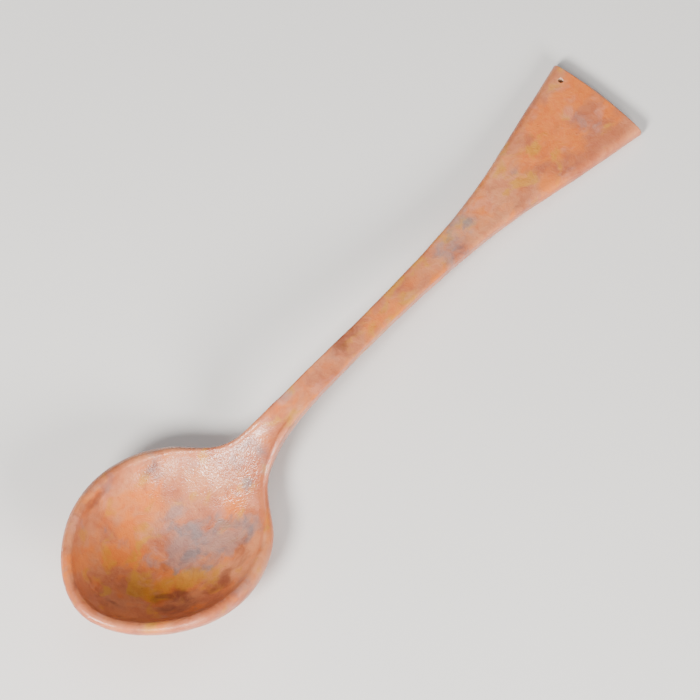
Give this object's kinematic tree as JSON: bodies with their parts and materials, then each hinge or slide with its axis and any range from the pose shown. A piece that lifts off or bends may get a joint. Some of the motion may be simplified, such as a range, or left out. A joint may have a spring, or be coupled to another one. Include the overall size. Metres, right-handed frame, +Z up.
{
  "type": "wooden spoon",
  "caption": "Carved wooden eating spoon with an egg-shaped bowl, slim handle and flared end with a hanging hole, painted and lacquered in mottled copper tones.",
  "frame": {"origin": "bottom centre of the spoon's box, on the table it rests on", "axes": "+X from the bowl's tip to the handle's flared end, +Z up, Y across; the spoon is symmetric about the XZ plane apart from its hanging hole"},
  "size_m": [0.201, 0.0488, 0.0249],
  "materials": {
    "bare_wood": "bare pale wood, seen only inside the hanging hole",
    "painted_lacquer": "satin gloss lacquer over mottled copper, terracotta, ochre and grey-lavender paint"
  },
  "bodies": {
    "root": {"wood_body": "bare_wood", "painted_coat": "painted_lacquer"}
  },
  "joints": []
}
